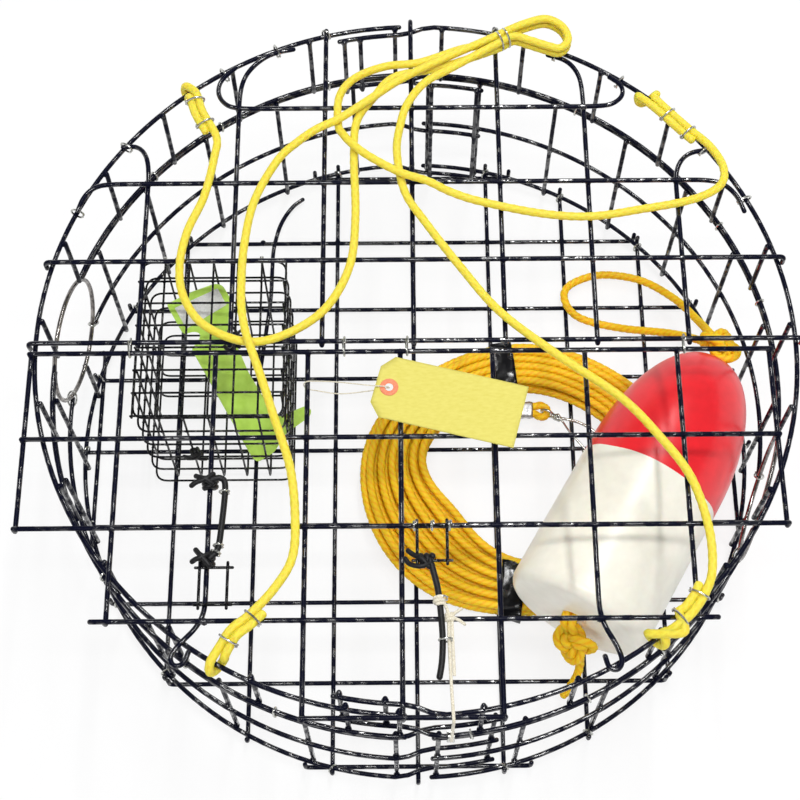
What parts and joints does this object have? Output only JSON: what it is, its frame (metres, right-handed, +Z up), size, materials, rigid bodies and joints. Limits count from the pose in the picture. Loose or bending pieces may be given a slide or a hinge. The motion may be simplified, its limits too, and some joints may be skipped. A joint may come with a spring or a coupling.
{
  "type": "crab trap",
  "caption": "Round welded wire crab trap with a hinged half lid, two side entry rings, inner bait cage, rope harness, coiled main line and bullet float.",
  "frame": {"origin": "centre of the floor panel, on the flat underside of its lower wires, at ground level", "axes": "+Z up, -Y towards the hinged lid half, +X to the right as seen from the lid side; the hinge runs along X"},
  "size_m": [0.7975, 0.7985, 0.3397],
  "materials": {
    "coated_wire": "black vinyl coated steel wire",
    "bait_wire": "thin vinyl coated wire",
    "galvanised": "galvanised steel",
    "rubber": "matt rubber cord",
    "cotton": "undyed cotton cord",
    "yellow_rope": "laid polypropylene rope",
    "orange_rope": "twisted orange polypropylene line",
    "buoy_foam": "painted float foam, red nose and white body",
    "lime_plastic": "lime green plastic sheet",
    "tag_card": "pale yellow tag card",
    "tape": "black tape"
  },
  "bodies": {
    "cage": {"floor_panel": "coated_wire", "lower_wall_left": "coated_wire", "lower_wall_right": "coated_wire", "upper_wall_left": "coated_wire", "upper_wall_right": "coated_wire", "entry_ring_left": "galvanised", "entry_ring_right": "galvanised", "roof_panel": "coated_wire", "wall_clip_1": "galvanised", "wall_clip_2": "galvanised", "wall_clip_3": "galvanised", "floor_clip_1": "galvanised", "floor_clip_2": "galvanised", "floor_clip_3": "galvanised", "roof_clip_1": "galvanised", "roof_clip_2": "galvanised", "ring_clip_left_1": "galvanised", "ring_clip_left_2": "galvanised", "ring_clip_right_1": "galvanised", "ring_clip_right_2": "galvanised", "bait_cage": "bait_wire", "gauge": "lime_plastic", "buoy": "buoy_foam", "buoy_line": "orange_rope", "main_line": "orange_rope", "line_tape_1": "tape", "line_tape_2": "tape", "line_sleeve": "galvanised", "snap_body": "galvanised", "harness_rear": "yellow_rope", "harness_front": "yellow_rope", "harness_clip": "galvanised"},
    "lid": {"lid_panel": "coated_wire", "hinge_ring_1": "galvanised", "hinge_ring_2": "galvanised", "hinge_ring_3": "galvanised", "hinge_ring_4": "galvanised", "side_tie": "rubber", "side_tie_ring_1": "galvanised", "side_tie_ring_2": "galvanised", "side_mesh": "bait_wire", "latch_tab": "bait_wire", "latch_ring": "galvanised", "latch_strap": "rubber", "strap_ring": "galvanised", "cotton_link": "cotton"},
    "bait_door": {"bait_lid": "bait_wire", "bait_ring_1": "galvanised", "bait_ring_2": "galvanised", "bait_tie": "rubber"},
    "card": {"tag": "tag_card", "tag_cord": "cotton"},
    "hook": {"latch_hook": "galvanised"},
    "gate": {"snap_gate": "galvanised"}
  },
  "joints": [
    {"name": "lid_hinge", "type": "hinge", "parent": "cage", "child": "lid", "pos_m": [0, -0.006, 0.3128], "axis": [-1, 0, 0], "range_deg": [0, 90], "deforming": ["harness_rear", "harness_front", "cotton_link"]},
    {"name": "bait_lid_hinge", "type": "hinge", "parent": "cage", "child": "bait_door", "pos_m": [0, 0.15, 0.2006], "axis": [-1, 0, 0], "range_deg": [0, 30]},
    {"name": "tag_swing", "type": "hinge", "parent": "lid", "child": "card", "pos_m": [-0.11, -0.0555, 0.3085], "axis": [0, -1, 0], "range_deg": [0, 80]},
    {"name": "latch_pull", "type": "slide", "parent": "lid", "child": "hook", "axis": [0, 0, -1], "range_m": [0, 0.02], "deforming": ["cotton_link"]},
    {"name": "snap_gate_hinge", "type": "hinge", "parent": "cage", "child": "gate", "pos_m": [0.1707, 0.0332, 0.0238], "axis": [0.1105, -0.0543, 0.9924], "range_deg": [0, 20], "stiffness_Nm_per_rad": 0.05}
  ]
}
